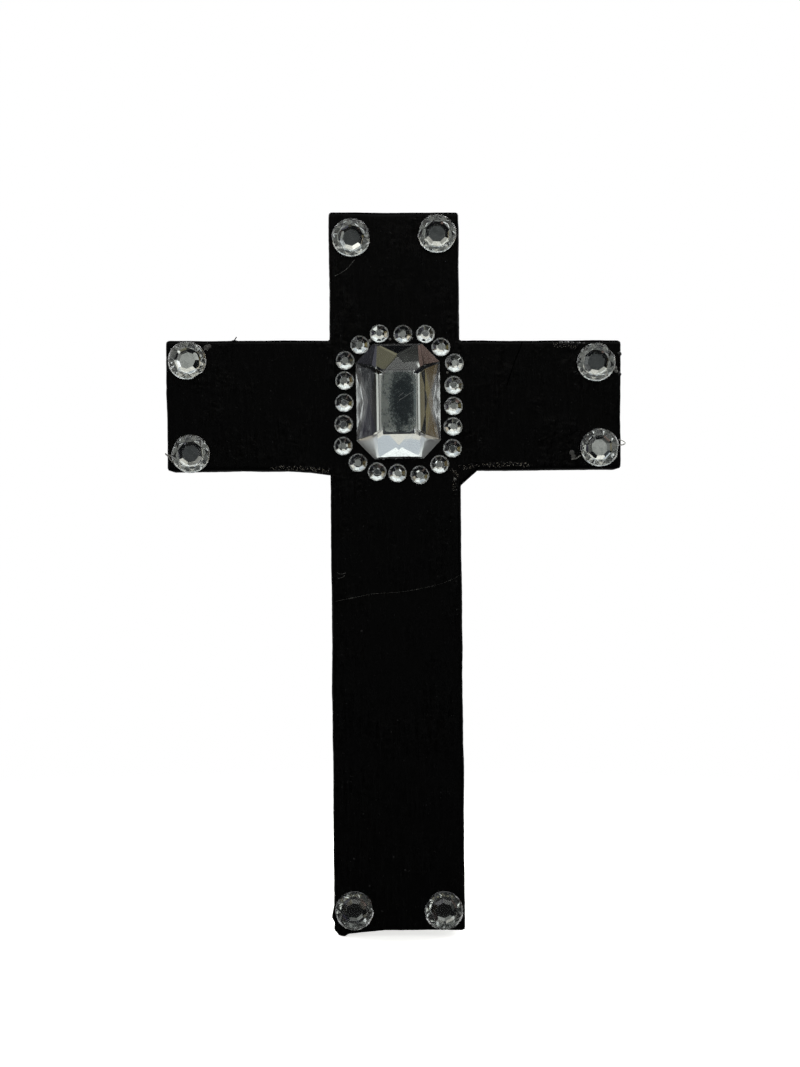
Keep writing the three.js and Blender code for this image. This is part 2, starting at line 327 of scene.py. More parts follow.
# Small pale specks strewn along the crumb trails: painted highlights, glints laid into their colour
paleGlintSpeckLook = {"main": "#c9c4b8", "cloudy": "#a79c86", "cloud": 0.4}
paleGlintSpecks = clouded("bareSawdust", paleGlintSpeckLook, {"Roughness": 0.5})
specks = {
    "Spacing": 0.17 * mm,
    "Spread": 0.45 * mm,
    "Smallest": 0.03 * mm,
    "Largest": 0.09 * mm,
    "Seed": 23,
}


def makeCrumbs(name, sizes, material, height):  # height above the face in mm
    piece = newPiece(name, linesFrom(crumbTrails, height))
    tree, size = newTree(name, sizes)
    curve = addNode(tree, "GeometryNodeMeshToCurve", {"Mesh": size["Geometry"]})
    spaced = addNode(tree, "GeometryNodeResampleCurve", {
        "Curve": curve.outputs[0], "Length": size["Spacing"]}, mode="LENGTH")
    points = addNode(tree, "GeometryNodeCurveToPoints", {"Curve": spaced.outputs[0]}, mode="EVALUATED")
    wander = addNode(tree, "FunctionNodeRandomValue", {
        "Min": (-1, 0, -1), "Max": (1, 0, 1), "Seed": size["Seed"]}, data_type="FLOAT_VECTOR")
    strewn = addNode(tree, "ShaderNodeVectorMath", {
        0: wander.outputs[0], "Scale": size["Spread"]}, operation="SCALE")
    placed = addNode(tree, "GeometryNodeSetPosition", {
        "Geometry": points.outputs[0], "Offset": strewn.outputs[0]})
    crumb = addNode(tree, "GeometryNodeMeshIcoSphere", {"Radius": 1, "Subdivisions": 2})
    turn = addNode(tree, "FunctionNodeRandomValue", {
        "Max": (math.tau, math.tau, math.tau), "Seed": size["Seed"]}, data_type="FLOAT_VECTOR")
    small = addNode(tree, "ShaderNodeCombineXYZ", {i: size["Smallest"] for i in range(3)})
    large = addNode(tree, "ShaderNodeCombineXYZ", {i: size["Largest"] for i in range(3)})
    scale = addNode(tree, "FunctionNodeRandomValue", {
        "Min": small.outputs[0], "Max": large.outputs[0], "Seed": size["Seed"]}, data_type="FLOAT_VECTOR")
    strew = addNode(tree, "GeometryNodeInstanceOnPoints", {
        "Points": placed.outputs[0], "Instance": crumb.outputs[0],
        "Rotation": turn.outputs[0], "Scale": scale.outputs[0]})
    real = addNode(tree, "GeometryNodeRealizeInstances", {0: strew.outputs[0]})
    finished = addNode(tree, "GeometryNodeSetMaterial", {"Geometry": real.outputs[0], "Material": material})
    useTree(piece, tree, finished.outputs[0], sizes)
    handOver(settle(piece), "painted_wood")


makeCrumbs("paint_crumbs", crumbs, thickPaint, height=0.02)
makeCrumbs("sawdust_specks", specks, paleGlintSpecks, height=0.08)

# Stones

acrylicLook = {"clear": "#fbfdfd", "paintedShadeGrey": "#d8dad9", "bending": 1.49, "haze": 0.9}  # haze in mm


# Moulded acrylic: clear as glass, and where the die was polished the facets show the foil behind them sharply.
# Haze from handling varies the polish a little, and wear takes some of the clearness and leaves a milky grey.
def mouldedAcrylic(name, colour, smoothest, roughest, clearness=1.0):
    look = acrylicLook
    material, tree, shader = newMaterial(name, {
        "Base Color": linear(look[colour]), "IOR": look["bending"], "Transmission Weight": clearness})
    place = addNode(tree, "ShaderNodeTexCoord").outputs["Object"]
    haze = addNode(tree, "ShaderNodeTexNoise", {"Vector": place, "Scale": 1 / (look["haze"] * mm)})
    roughness = addNode(tree, "ShaderNodeMapRange", {
        "Value": haze.outputs[0], "From Min": 0.35, "From Max": 0.65, "To Min": smoothest, "To Max": roughest})
    tree.links.new(roughness.outputs[0], shader.inputs["Roughness"])
    return material


acrylic = mouldedAcrylic("clearAcrylic", "clear", smoothest=0.003, roughest=0.018)
# rims from a satin die glow softly, and the large stones' flanges are duller than their crowns, with a grey
# tint that is painted shade
satinRim = mouldedAcrylic("satinAcrylicRim", "clear", smoothest=0.21, roughest=0.31)
flangeAcrylic = mouldedAcrylic("flangeAcrylic", "paintedShadeGrey", smoothest=0.02, roughest=0.06, clearness=0.95)
# the gem's steep sides are faintly grey, and its lower corners milky with wear
rubbedAcrylic = mouldedAcrylic("rubbedAcrylic", "clear", smoothest=0.05, roughest=0.1, clearness=0.92)
scuffedAcrylic = mouldedAcrylic("scuffedAcrylic", "clear", smoothest=0.16, roughest=0.26, clearness=0.7)

# Aluminium foil hot-stamped on the backs: a mirror with faint dull specks
foilLook = {"main": "#dcdedd", "cloudy": "#bfc3c1", "cloud": 1.1}
silverFoil = clouded("silverFoil", foilLook, {"Metallic": 1.0, "Roughness": 0.05})

# Where the foil behind the gem is still clear, and the table it is seen through, in mm across the face; the
# darker bluish colour of the clear middle is painted shade
gemFoilLook = {
    "bright": "#dcdedd",
    "clear": "#7f8c90",
    "cloudy": "#b8bdb9",
    "clearMiddle": (1.5, 1.4),
    "clearReach": (2.3, 5.6),
    "windowMiddle": (0.7, 0.95),
    "windowReach": (3.3, 6.1),
    "speck": 0.55,
    "speckle": 3.2,  # how strongly the specks break up the edge of the clear area
    "smoothest": 0.04,
    "roughest": 0.36,
}


# The gem's foil: a dark mirror in the middle, its colour darkened there as painted shade for the table, and
# clouded and speckled where it lifted towards the left
def gemFoil():
    look = gemFoilLook
    material, tree, shader = newMaterial("cloudedFoil", {"Metallic": 1.0})
    place = addNode(tree, "ShaderNodeTexCoord").outputs["Object"]

    def distance(middle, reach, power):  # 1 on the edge of an oval or squarish area
        shifted = addNode(tree, "ShaderNodeVectorMath", {
            0: place, 1: (middle[0] * mm, 0, middle[1] * mm)}, operation="SUBTRACT")
        scaled = addNode(tree, "ShaderNodeVectorMath", {
            0: shifted.outputs[0], 1: (1 / (reach[0] * mm), 0, 1 / (reach[1] * mm))}, operation="MULTIPLY")
        x, y, z = addNode(tree, "ShaderNodeSeparateXYZ", {0: scaled.outputs[0]}).outputs
        parts = []
        for side in (x, z):
            size = addNode(tree, "ShaderNodeMath", {0: side}, operation="ABSOLUTE").outputs[0]
            parts.append(addNode(tree, "ShaderNodeMath", {0: size, 1: power}, operation="POWER").outputs[0])
        return addNode(tree, "ShaderNodeMath", {0: parts[0], 1: parts[1]}, operation="ADD").outputs[0]

    outside = addNode(tree, "ShaderNodeMapRange", {
        "Value": distance(look["clearMiddle"], look["clearReach"], power=2),
        "From Min": 0.4, "From Max": 2.2})
    inWindow = addNode(tree, "ShaderNodeMapRange", {
        "Value": distance(look["windowMiddle"], look["windowReach"], power=8),
        "From Min": 1.1, "From Max": 0.9})
    speck = addNode(tree, "ShaderNodeTexNoise", {
        "Vector": place, "Scale": 1 / (look["speck"] * mm), "Detail": 6, "Roughness": 0.75})
    spread = addNode(tree, "ShaderNodeMath", {
        0: speck.outputs[0], 1: look["speckle"], 2: outside.outputs[0]}, operation="MULTIPLY_ADD")
    cloud = addNode(tree, "ShaderNodeMapRange", {
        "Value": spread.outputs[0], "From Min": 1.65, "From Max": 2.75})
    share = addNode(tree, "ShaderNodeMath", {
        0: cloud.outputs[0], 1: inWindow.outputs[0]}, operation="MULTIPLY")
    # painted shade: the foil's colour turns darker and bluish behind the table
    shadedTint = addNode(tree, "ShaderNodeMix", {
        0: inWindow.outputs[0], 6: linear(look["bright"]), 7: linear(look["clear"])}, data_type="RGBA")
    colour = addNode(tree, "ShaderNodeMix", {
        0: share.outputs[0], 6: shadedTint.outputs[2], 7: linear(look["cloudy"])}, data_type="RGBA")
    roughness = addNode(tree, "ShaderNodeMapRange", {
        "Value": share.outputs[0], "To Min": look["smoothest"], "To Max": look["roughest"]})
    tree.links.new(colour.outputs[2], shader.inputs["Base Color"])
    tree.links.new(roughness.outputs[0], shader.inputs["Roughness"])
    return material


stoneEdge = {"small": 0.035 * mm, "large": 0.06 * mm, "gem": 0.09 * mm, "angle": math.radians(2.5)}


def roundEdges(piece, size):  # facet edges come out of a mould slightly soft
    bevel = piece.modifiers.new("softEdges", "BEVEL")
    bevel.width = stoneEdge[size]
    bevel.segments = 2
    bevel.limit_method = "ANGLE"
    bevel.angle_limit = stoneEdge["angle"]


# Slopes in degrees where a stone's flange, crown, and rim or side begin; flatter faces are its table
slopes = {"flange": 4.5, "crown": 19, "smallRim": 35, "largeRim": 33, "gemSide": 34.5}


def slopeOf(face):  # degrees away from the board's face
    return math.degrees(math.acos(min(1, abs(face.normal.y))))


def dressStone(piece, *finishes):  # the last finish whose slope in degrees a face reaches is its own
    piece.data.materials.clear()
    for material, slope in finishes:
        piece.data.materials.append(material)
    for face in piece.data.polygons:
        face.material_index = sum(slopeOf(face) > slope for material, slope in finishes[1:])


ringNames = [f"ring_stone_{i:02d}" for i in range(1, 21)]
ring = {
    "Turn Step": math.radians(-17),
    "Tilt": math.radians(3.4),
    "Seed": 5,
}


def makeRing():
    first = cutCopy(ringNames[0])
    bmesh.ops.translate(first, verts=first.verts, vec=-seatOf(ringNames[0]))
    pattern = newPiece("ringPattern", meshFrom(first, "ringPattern"))
    seats = bpy.data.meshes.new("ringSeats")
    seats.from_pydata([seatOf(name) for name in ringNames], [], [])
    piece = newPiece("ring_stones", seats)

    # one stone on each seat, turned in steps and pressed down a little askew
    tree, size = newTree("ringOfStones", ring)
    stone = addNode(tree, "GeometryNodeObjectInfo", {"Object": pattern})
    index = addNode(tree, "GeometryNodeInputIndex").outputs[0]
    turn = addNode(tree, "ShaderNodeMath", {0: index, 1: size["Turn Step"]}, operation="MULTIPLY")
    upright = addNode(tree, "ShaderNodeCombineXYZ", {1: turn.outputs[0]})
    lean = addNode(tree, "FunctionNodeRandomValue", {
        "Min": (-1, 0, -1), "Max": (1, 0, 1), "Seed": size["Seed"]}, data_type="FLOAT_VECTOR")
    askew = addNode(tree, "ShaderNodeVectorMath", {
        0: lean.outputs[0], 1: size["Tilt"], 2: upright.outputs[0]}, operation="MULTIPLY_ADD")
    stones = addNode(tree, "GeometryNodeInstanceOnPoints", {
        "Points": size["Geometry"], "Instance": stone.outputs["Geometry"], "Rotation": askew.outputs[0]})
    real = addNode(tree, "GeometryNodeRealizeInstances", {0: stones.outputs[0]})
    clear = addNode(tree, "GeometryNodeSetMaterial", {"Geometry": real.outputs[0], "Material": acrylic})
    useTree(piece, tree, clear.outputs[0], ring)
    roundEdges(piece, "small")
    settle(piece)
    bpy.data.objects.remove(pattern)
    dressStone(
        piece, (acrylic, 0), (satinRim, slopes["flange"]), (acrylic, slopes["crown"]),
        (satinRim, slopes["smallRim"]))
    handOver(piece, "clear_acrylic", *ringNames)
    return piece


# Each small facet of a large stone's flange rises to a point this high, so that the flange sparkles
flangePoint = 0.045 * mm

# How far each large stone leans back and to the right, in degrees
largeLean = {
    "large_stone_top_left": (-2, -0.3),
    "large_stone_top_right": (-2.7, -0.4),
    "large_stone_left_upper": (0.5, -1.6),
    "large_stone_left_lower": (0.6, 2.5),
    "large_stone_right_upper": (-0.8, -2.4),
    "large_stone_right_lower": (0.8, 1.6),
    "large_stone_foot_left": (-1.5, 1.7),
    "large_stone_foot_right": (-1.7, 1.3),
}


def makeLargeStones():
    together = bmesh.new()
    for name, (back, right) in largeLean.items():
        stone = cutCopy(name)
        front = [face for face in stone.faces if face.normal.y < 0]
        flange = [face for face in front if slopes["flange"] < slopeOf(face) < slopes["crown"]]
        bmesh.ops.poke(stone, faces=flange, offset=flangePoint)
        lean = Euler((math.radians(-back), 0, math.radians(right))).to_matrix()
        bmesh.ops.rotate(stone, verts=stone.verts, cent=seatOf(name), matrix=lean)
        single = meshFrom(stone, name)
        together.from_mesh(single)
        bpy.data.meshes.remove(single)
    piece = newPiece("large_stones", meshFrom(together, "large_stones"))
    roundEdges(piece, "large")
    settle(piece)
    dressStone(
        piece, (acrylic, 0), (flangeAcrylic, slopes["flange"]), (acrylic, slopes["crown"]),
        (satinRim, slopes["largeRim"]))
    handOver(piece, "clear_acrylic", *largeLean)
    return piece


cornerTurn = 0.2  # the gem's corner facets face down and sideways by more than this


def makeGem():
    piece = newPiece("gem", meshFrom(cutCopy("center_gem"), "gem"))
    roundEdges(piece, "gem")
    settle(piece)
    dressStone(piece, (acrylic, 0), (rubbedAcrylic, slopes["gemSide"]))
    piece.data.materials.append(scuffedAcrylic)
    for face in piece.data.polygons:  # the two lower corners are scuffed
        if face.normal.z < -cornerTurn and abs(face.normal.x) > cornerTurn:
            face.material_index = 2
    handOver(piece, "clear_acrylic", "center_gem")
    return piece


roundStones = [makeRing(), makeLargeStones()]
gem = makeGem()

# Thin layers on the backs of the stones: gap behind the stone and thickness, in mm
foilLayer = {"gap": 0.02, "thickness": 0.03}
glueLayer = {"gap": 0.06, "thickness": 0.22}
backFacing = math.cos(math.radians(6))  # faces turned to the board within this angle are a stone's back


def backLayer(name, stones, layer, material, slot):
    bm = bmesh.new()
    for stone in stones:
        bm.from_mesh(stone.data)
    bm.normal_update()
    others = [face for face in bm.faces if face.normal.y < backFacing]
    bmesh.ops.delete(bm, geom=others, context="FACES")
    for vertex in bm.verts:
        vertex.co.y += layer["gap"] * mm
    for face in bm.faces:
        face.material_index = 0
    piece = newPiece(name, meshFrom(bm, name))
    solid = piece.modifiers.new("layer", "SOLIDIFY")
    solid.thickness = layer["thickness"] * mm
    solid.offset = 1
    settle(piece)
    piece.data.materials.clear()
    piece.data.materials.append(material)
    handOver(piece, slot)


backLayer("foil_backs", roundStones, foilLayer, silverFoil, "silver_foil")
backLayer("gem_foil", [gem], foilLayer, gemFoil(), "silver_foil")

# Glue

# Hot-melt glue: soft, milky and half clear, glossy where it drew into threads and dull where it was smeared
glueLook = {"main": "#f1f1ec", "cloudy": "#bdbdb5", "cloud": 1.2}
glueMaterial = clouded("hotMeltGlue", glueLook, {"Roughness": 0.22, "IOR": 1.48, "Transmission Weight": 0.7})
thinGlue = clouded("thinGlueSmear", glueLook, {"Roughness": 0.4, "IOR": 1.48, "Transmission Weight": 0.9})
backLayer("glue_beds", roundStones + [gem], glueLayer, glueMaterial, "craft_glue")

# Threads drawn off the glue gun: (x, z) in mm across the face, with a height above it where they stand off
glueThreads = [
    [(-47.3, -12, 0.5), (-47.9, -11.2, 0.3), (-48.4, -10.6, 0.1), (-48.9, -10.1, -0.2)],
    [(-47.1, -10.4, 0.5), (-48, -10.6, 0.3), (-48.8, -10.3, -0.1)],
    [(46.8, -7.2, 0.6), (47.9, -7.3, 0.3), (48.8, -7.9, 0), (47.9, -8.3, 0.2), (46.8, -8.1, 0.5)],
    [(37.3, -11.3, 0.1), (38.2, -11.2, 0.2), (39.3, -10.5, 0.4)],
]
threads = {"Radius": 0.12 * mm, "Spacing": 0.2 * mm, "Unevenness": 1.3, "Seed": 3}

# Finer ones that fell on the face
fineGlueThreads = [
    [(-12.9, 27.6), (-11.2, 28.5), (-9.9, 29.6), (-8.6, 31.2)],
    [(-12.4, -35.4), (-11.6, -35.7), (-10.6, -35.5)],
    [(-12.3, -36.6), (-11.5, -36.5), (-10.8, -36.1)],
]
fineThreads = {"Radius": 0.028 * mm, "Spacing": 0.2 * mm, "Unevenness": 1.9, "Seed": 8}

# One long hair of glue across the lower beam, nearly out of sight
hairPath = [[(-12.7, -41.5), (-9.2, -40.8), (-4.4, -39.9), (2, -39.4), (9.5, -37.8), (13.9, -35.9)]]
hair = {"Radius": 0.009 * mm, "Spacing": 0.25 * mm, "Unevenness": 1.8, "Seed": 14}
thinnest = 0.1  # of a thread's radius


def makeThreads(name, paths, sizes, material, slot, height):  # height above the face in mm
    piece = newPiece(name, linesFrom(paths, height))
    tree, size = newTree(name, sizes)
    line = addNode(tree, "GeometryNodeMeshToCurve", {"Mesh": size["Geometry"]})
    soft = addNode(tree, "GeometryNodeCurveSplineType", {"Curve": line.outputs[0]}, spline_type="CATMULL_ROM")
    spaced = addNode(tree, "GeometryNodeResampleCurve", {
        "Curve": soft.outputs[0], "Length": size["Spacing"]}, mode="LENGTH")
    wobble = addNode(tree, "ShaderNodeTexNoise", {  # thick and thin by turns, about once in a mm
        "W": size["Seed"], "Scale": 1 / mm, "Detail": 2}, noise_dimensions="4D")
    spare = addNode(tree, "ShaderNodeMath", {0: wobble.outputs[0], 1: 0.5}, operation="SUBTRACT")
    uneven = addNode(tree, "ShaderNodeMath", {
        0: spare.outputs[0], 1: size["Unevenness"], 2: 1.0}, operation="MULTIPLY_ADD")
    share = addNode(tree, "ShaderNodeMath", {0: uneven.outputs[0], 1: thinnest}, operation="MAXIMUM")
    radius = addNode(tree, "ShaderNodeMath", {0: share.outputs[0], 1: size["Radius"]}, operation="MULTIPLY")
    section = addNode(tree, "GeometryNodeCurvePrimitiveCircle", {"Resolution": 8, "Radius": 1})
    tube = addNode(tree, "GeometryNodeCurveToMesh", {
        "Curve": spaced.outputs[0], "Profile Curve": section.outputs[0],
        "Scale": radius.outputs[0], "Fill Caps": True})
    smooth = addNode(tree, "GeometryNodeSetShadeSmooth", {"Geometry": tube.outputs[0]})
    real = addNode(tree, "GeometryNodeRealizeInstances", {0: smooth.outputs[0]})
    finished = addNode(tree, "GeometryNodeSetMaterial", {"Geometry": real.outputs[0], "Material": material})
    useTree(piece, tree, finished.outputs[0], sizes)
    handOver(settle(piece), slot)


makeThreads("glue_threads", glueThreads, threads, glueMaterial, "craft_glue", height=0.03)
makeThreads("fine_glue_threads", fineGlueThreads, fineThreads, glueMaterial, "craft_glue", height=0.02)
makeThreads("glue_hair", hairPath, hair, glueMaterial, "craft_glue", height=0.02)

# Scratches in the gem's table, (x, z) in mm
gemScratches = [
    [(0.74, 0.96), (2.3, 1.95), (3.89, 2.9)],
    [(0.68, 1.79), (1.2, 2.22), (1.74, 2.6)],
]
scratches = {"Radius": 0.03 * mm, "Spacing": 0.2 * mm, "Unevenness": 1.2, "Seed": 2}
tableHeight = (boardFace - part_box("center_gem")[0].y) / mm

# Bruised acrylic along a scratch: a dull white burr
burrLook = {"main": "#b4b8b6", "cloudy": "#8d9290", "cloud": 0.5}
burr = clouded("scratchBurr", burrLook, {"Roughness": 0.6})
makeThreads("gem_scratches", gemScratches, scratches, burr, "clear_acrylic", height=tableHeight)

# Slivers of painted wood raised by the saw
woodSlivers = [
    [(-34.7, 13.6, -0.4), (-34.2, 14.1, -0.5), (-33.8, 14.7, -0.4)],
    [(-35.2, 13.7, -1), (-34.4, 14, -1.1), (-33.4, 13.8, -1.2)],
    [(-12.6, -111.5, -0.6), (-12, -112.4, -0.8), (-11.2, -112.7, -0.9)],
]
slivers = {"Radius": 0.11 * mm, "Spacing": 0.2 * mm, "Unevenness": 1.2, "Seed": 9}
makeThreads("wood_slivers", woodSlivers, slivers, paintMaterial, "painted_wood", height=0)

# Ridges where the brush left the paint standing in the inner corner
paintRidges = [
    [(12, -13.8), (13.7, -14), (15.8, -13), (18.5, -12.7), (22.2, -12.5)],
    [(11.6, -14), (14.5, -12.3), (18, -11.8), (22, -12.7)],
    [(15, -9.6), (17.1, -9.7), (19, -10.1), (21.4, -11.5), (23.4, -12.5)],
    [(31, -12.3), (33.5, -12), (35.6, -11.3), (37.2, -10.7)],
]
ridges = {"Radius": 0.16 * mm, "Spacing": 0.15 * mm, "Unevenness": 3.4, "Seed": 12}
makeThreads("paint_ridges", paintRidges, ridges, paintMaterial, "painted_wood", height=-0.1)

# A dry groove that the brush skipped, down the right arm
paintGroove = [[(26.9, 13.5), (26.2, 11.6), (25.3, 9.4), (24.4, 6.6), (23.6, 4.2)]]
groove = {"Radius": 0.13 * mm, "Spacing": 0.2 * mm, "Unevenness": 1.5, "Seed": 17}
dryGrooveLook = {"main": "#000000", "cloudy": "#070706", "cloud": 0.6}
dryGroove = clouded("dryPaintGroove", dryGrooveLook, {"Roughness": 0.9, "Specular IOR Level": 0.0})
makeThreads("paint_groove", paintGroove, groove, dryGroove, "painted_wood", height=-0.07)

# Drops squeezed out between the stones: x, z and radius in mm
glueDrops = [
    (-5.4, 13.9, 0.4), (-1.2, 14.2, 0.3), (3.5, 14.4, 0.3), (2.9, 14.9, 0.22), (12.6, -15.5, 0.3),
    (-48, -10.6, 0.3), (46.6, 8.1, 0.5), (46.9, 7.4, 0.4), (11, 7.1, 0.25),
]
drops = {"Flatness": 0.55}

# Glue smeared thin beside two of the stones
glueSmears = [
    (-40.2, 12.4, 0.6), (-39.6, 12.7, 0.45), (37.5, -9.9, 0.55), (37.8, -10.7, 0.5),
]
smears = {"Flatness": 0.14}

# Lumps of paint dried on the edges and here and there on the face
paintLumps = [
    (47.5, 11.1, 0.55), (47.5, 6.8, 0.5), (35.2, 13.3, 0.45), (36.4, 13.3, 0.55), (37.6, 13.3, 0.4),
    (38.9, 13.2, 0.45), (40, 13.2, 0.35), (-7.2, -47.8, 0.22), (-8.8, -96.2, 0.2), (-0.4, -95.8, 0.2),
    (2.1, -98.6, 0.24), (-5.5, -102, 0.2), (-2.8, -107.4, 0.2), (-26.5, 3.2, 0.18), (24.7, -1.5, 0.18),
]
lumps = {"Flatness": 0.8}


def makeDrops(name, places, sizes, material, slot):
    mesh = bpy.data.meshes.new(name)
    mesh.from_pydata([(x * mm, boardFace, z * mm) for x, z, radius in places], [], [])
    reach = mesh.attributes.new("reach", "FLOAT", "POINT")
    reach.data.foreach_set("value", [radius * mm for x, z, radius in places])
    piece = newPiece(name, mesh)
    tree, size = newTree(name, sizes)
    drop = addNode(tree, "GeometryNodeMeshIcoSphere", {"Radius": 1, "Subdivisions": 4})
    width = addNode(tree, "GeometryNodeInputNamedAttribute", {"Name": "reach"}, data_type="FLOAT").outputs[0]
    depth = addNode(tree, "ShaderNodeMath", {0: width, 1: size["Flatness"]}, operation="MULTIPLY")
    scale = addNode(tree, "ShaderNodeCombineXYZ", {0: width, 1: depth.outputs[0], 2: width})
    dropped = addNode(tree, "GeometryNodeInstanceOnPoints", {
        "Points": size["Geometry"], "Instance": drop.outputs[0], "Scale": scale.outputs[0]})
    real = addNode(tree, "GeometryNodeRealizeInstances", {0: dropped.outputs[0]})
    smooth = addNode(tree, "GeometryNodeSetShadeSmooth", {"Geometry": real.outputs[0]})
    finished = addNode(tree, "GeometryNodeSetMaterial", {"Geometry": smooth.outputs[0], "Material": material})
    useTree(piece, tree, finished.outputs[0], sizes)
    handOver(settle(piece), slot)


makeDrops("glue_drops", glueDrops, drops, glueMaterial, "craft_glue")
makeDrops("glue_smears", glueSmears, smears, thinGlue, "craft_glue")
makeDrops("paint_lumps", paintLumps, lumps, thickPaint, "painted_wood")

# Camera: straight on, half a metre from the painted face; the sensor is in mm
camera = {"distance": 0.5, "x": 0.96 * mm, "z": -27.09 * mm, "viewHeight": 226.7 * mm, "sensor": 36}
lens = bpy.data.cameras.new("camera")
lens.sensor_width = camera["sensor"]
lens.lens = camera["sensor"] * camera["distance"] / camera["viewHeight"]
eye = newPiece("camera", lens)
eye.location = (camera["x"], boardFace - camera["distance"], camera["z"])
eye.rotation_euler = (math.pi / 2, 0, 0)
scene.camera = eye

# Floor: a pale disc under the foot, fading out into the white around it; radius and fade in m
floor = {"radius": 0.34, "fadeFrom": 0.12, "colour": "#f5f5f3", "glow": 0.83}


def makeFloor():
    bm = bmesh.new()
    bmesh.ops.create_circle(bm, cap_ends=True, segments=96, radius=floor["radius"])
    bmesh.ops.translate(bm, verts=bm.verts, vec=(0, 0, cadBox[0].z))
    piece = newPiece("floor", meshFrom(bm, "floor"))
    material, tree, shader = newMaterial("paleFloor", {
        "Base Color": linear(floor["colour"]), "Roughness": 0.9, "Specular IOR Level": 0.1,
        "Emission Color": linear(floor["colour"]), "Emission Strength": floor["glow"]})
    place = addNode(tree, "ShaderNodeTexCoord").outputs["Object"]
    flat = addNode(tree, "ShaderNodeVectorMath", {0: place, 1: (1, 1, 0)}, operation="MULTIPLY")
    out = addNode(tree, "ShaderNodeVectorMath", {0: flat.outputs[0]}, operation="LENGTH")
    fade = addNode(tree, "ShaderNodeMapRange", {
        "Value": out.outputs["Value"], "From Min": floor["fadeFrom"], "From Max": floor["radius"],
        "To Min": 1, "To Max": 0}, interpolation_type="SMOOTHSTEP")
    tree.links.new(fade.outputs[0], shader.inputs["Alpha"])
    piece.data.materials.append(material)
    piece.visible_glossy = False
    piece.visible_transmission = False
    piece.visible_diffuse = False
    piece.visible_shadow = False


makeFloor()

# Room light by direction from the object, in degrees: azimuth to the right, elevation upwards.
# Later areas lie over earlier ones.
room = {"around": 0.03, "backdrop": "#ffffff", "mottle": 0.35, "mottleScale": 12.0}
roomAreas = [
    {"colour": "#f0f5ff", "light": 0.008, "azimuth": (-100, 100), "elevation": (-90, 85), "soft": 12},
    {"colour": "#ffffff", "light": 6, "azimuth": (105, 158), "elevation": (8, 60), "soft": 14},
    {"colour": "#ffffff", "light": 4, "azimuth": (-158, -105), "elevation": (8, 60), "soft": 14},
    {"colour": "#ffffff", "light": 0.8, "azimuth": (64, 100), "elevation": (-25, 48), "soft": 10},
    {"colour": "#ffffff", "light": 0.8, "azimuth": (-100, -64), "elevation": (-25, 48), "soft": 10},
    {"colour": "#ffffff", "light": 0.3, "azimuth": (-60, 60), "elevation": (-76, -50), "soft": 8},
    {"colour": "#ffd894", "light": 0.12, "azimuth": (-52, -36), "elevation": (-6, 8), "soft": 3},
    {"colour": "#ffe598", "light": 0.17, "azimuth": (-36, -29.5), "elevation": (-6, 8), "soft": 2},
    {"colour": "#fff0c8", "light": 0.16, "azimuth": (-25.5, -22), "elevation": (-6, 8), "soft": 1.5},
    {"colour": "#f2f3ff", "light": 0.035, "azimuth": (22, 52), "elevation": (-6, 4), "soft": 1.5},
    {"colour": "#c9bfea", "light": 0.05, "azimuth": (24, 52), "elevation": (4, 8), "soft": 1.5},
    {"colour": "#ffd9cc", "light": 0.27, "azimuth": (-52, -36), "elevation": (-37, -25), "soft": 3},
    {"colour": "#ffd9cc", "light": 0.24, "azimuth": (-19, -11), "elevation": (-26, -19), "soft": 2},
    {"colour": "#fff6d2", "light": 0.22, "azimuth": (1, 9), "elevation": (-25, -18.2), "soft": 1},
    {"colour": "#f7f7f1", "light": 0.085, "azimuth": (-10.5, 10.5), "elevation": (-18.2, -13.5), "soft": 1},
    {"colour": "#f7f7f1", "light": 0.06, "azimuth": (-9, 1), "elevation": (-27, -18.2), "soft": 1},
    {"colour": "#eeeaff", "light": 0.1, "azimuth": (10.5, 20), "elevation": (-27, -18.2), "soft": 1},
    {"colour": "#eeeaff", "light": 0.1, "azimuth": (36, 52), "elevation": (-37, -25), "soft": 3},
    {"colour": "#f7f7f1", "light": 0.09, "azimuth": (-5, 5), "elevation": (-8, -4), "soft": 1},
    {"colour": "#f7f7f1", "light": 1.5, "azimuth": (-14, -8.5), "elevation": (-17, -13.5), "soft": 1.5},
    {"colour": "#f7f7f1", "light": 1.5, "azimuth": (9, 15), "elevation": (-18.5, -13), "soft": 1.5},
    {"colour": "#f0f5ff", "light": 0.07, "azimuth": (-16, 16), "elevation": (8, 15), "soft": 2},
    {"colour": "#fff0d8", "light": 0.8, "azimuth": (34, 48), "elevation": (11, 21), "soft": 3},
    {"colour": "#fff0d8", "light": 0.8, "azimuth": (-48, -34), "elevation": (11, 21), "soft": 3},
    {"colour": "#f7f7f1", "light": 0.9, "azimuth": (-21, -17), "elevation": (-1, 7), "soft": 1.5},
    {"colour": "#f7f7f1", "light": 1.0, "azimuth": (17, 21), "elevation": (-1, 7), "soft": 1.5},
    {"colour": "#f7f7f1", "light": 0.41, "azimuth": (-11.5, 11.5), "elevation": (-1, 7), "soft": 1.5},
    {"colour": "#f7f7f1", "light": 0.22, "azimuth": (-7, 6.6), "elevation": (-4.5, 9.5), "soft": 2},
    {"colour": "#f4f8fa", "light": 0.07, "azimuth": (-2.3, 2.3), "elevation": (1.2, 5), "soft": 1.2},
    {"colour": "#ffffff", "light": 0.011, "azimuth": (-4, 6), "elevation": (-14, -8), "soft": 1.2},
    {"colour": "#fffaf0", "light": 0.55, "azimuth": (-14, -6.5), "elevation": (11, 17), "soft": 1.5},
    {"colour": "#fffaf0", "light": 0.95, "azimuth": (6.5, 14), "elevation": (11, 17), "soft": 1.5},
]

